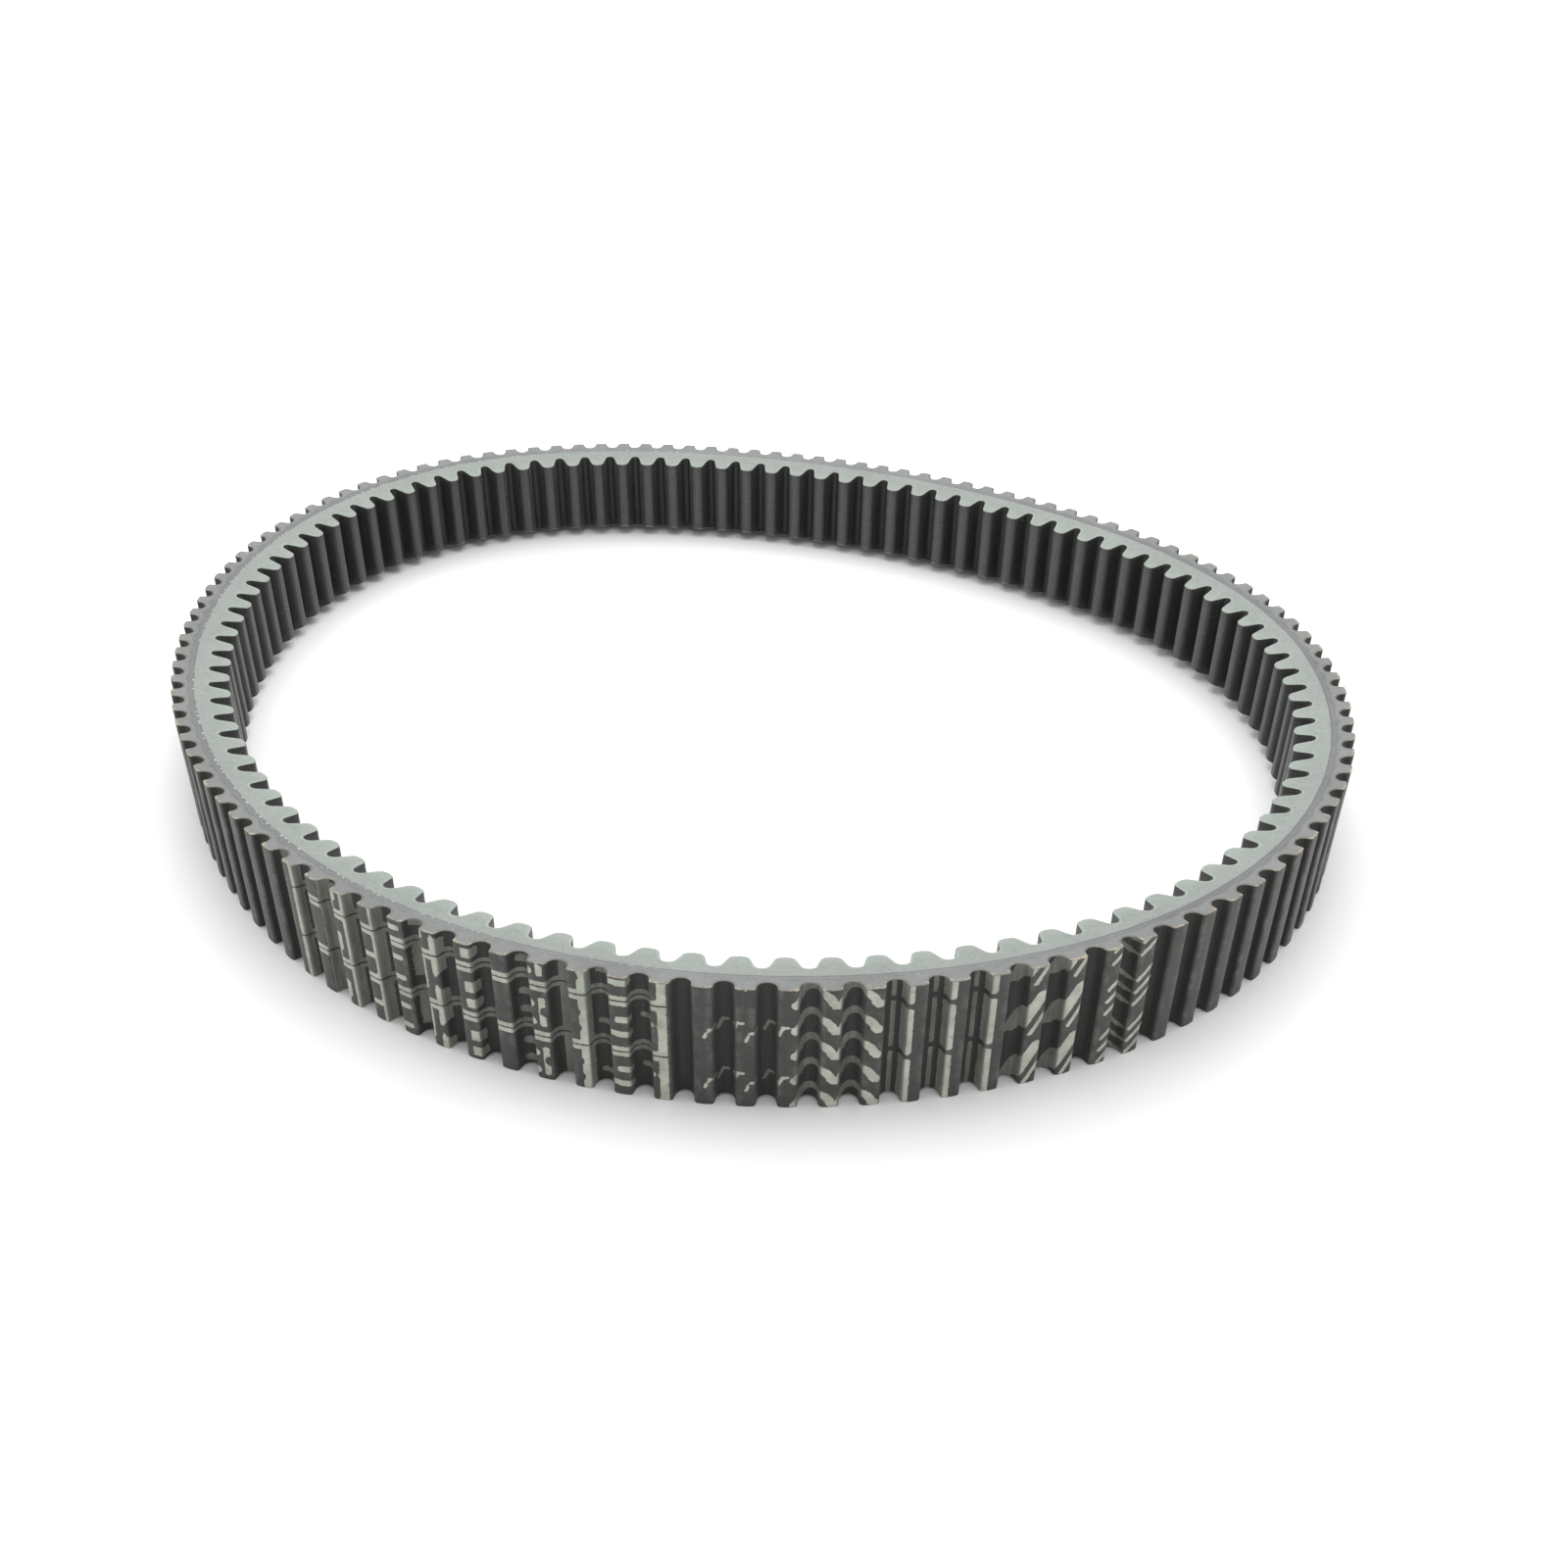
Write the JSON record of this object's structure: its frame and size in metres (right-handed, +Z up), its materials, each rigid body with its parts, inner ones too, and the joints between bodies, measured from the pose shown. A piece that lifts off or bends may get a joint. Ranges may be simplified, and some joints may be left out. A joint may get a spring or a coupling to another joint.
{
  "type": "double-cogged variable-speed v-belt",
  "caption": "Endless double-cogged rubber V-belt for a variable-speed drive, lying relaxed on its side, with cloth facings and a layer of tension cords.",
  "frame": {"origin": "centre of the loop's outline, on the surface the belt lies on", "axes": "+Z up through the loop, along its width; +X along the loop's longer side; -Y towards the near stretch of the loop"},
  "size_m": [0.3742, 0.3616, 0.0356],
  "materials": {
    "outer_facing": "matte",
    "outer_rubber": "matte",
    "cushion_gum": "matte",
    "tension_cord": "matte",
    "inner_rubber": "matte",
    "inner_facing": "matte"
  },
  "bodies": {
    "root": {"outer_facing_cloth": "outer_facing", "outer_cog_rubber": "outer_rubber", "upper_cushion_gum": "cushion_gum", "tension_cord_01": "tension_cord", "tension_cord_02": "tension_cord", "tension_cord_03": "tension_cord", "tension_cord_04": "tension_cord", "tension_cord_05": "tension_cord", "tension_cord_06": "tension_cord", "tension_cord_07": "tension_cord", "tension_cord_08": "tension_cord", "tension_cord_09": "tension_cord", "tension_cord_10": "tension_cord", "tension_cord_11": "tension_cord", "tension_cord_12": "tension_cord", "tension_cord_13": "tension_cord", "tension_cord_14": "tension_cord", "tension_cord_15": "tension_cord", "tension_cord_16": "tension_cord", "tension_cord_17": "tension_cord", "tension_cord_18": "tension_cord", "tension_cord_19": "tension_cord", "tension_cord_20": "tension_cord", "tension_cord_21": "tension_cord", "tension_cord_22": "tension_cord", "lower_cushion_gum": "cushion_gum", "inner_cog_rubber": "inner_rubber", "inner_facing_cloth": "inner_facing"}
  },
  "joints": []
}
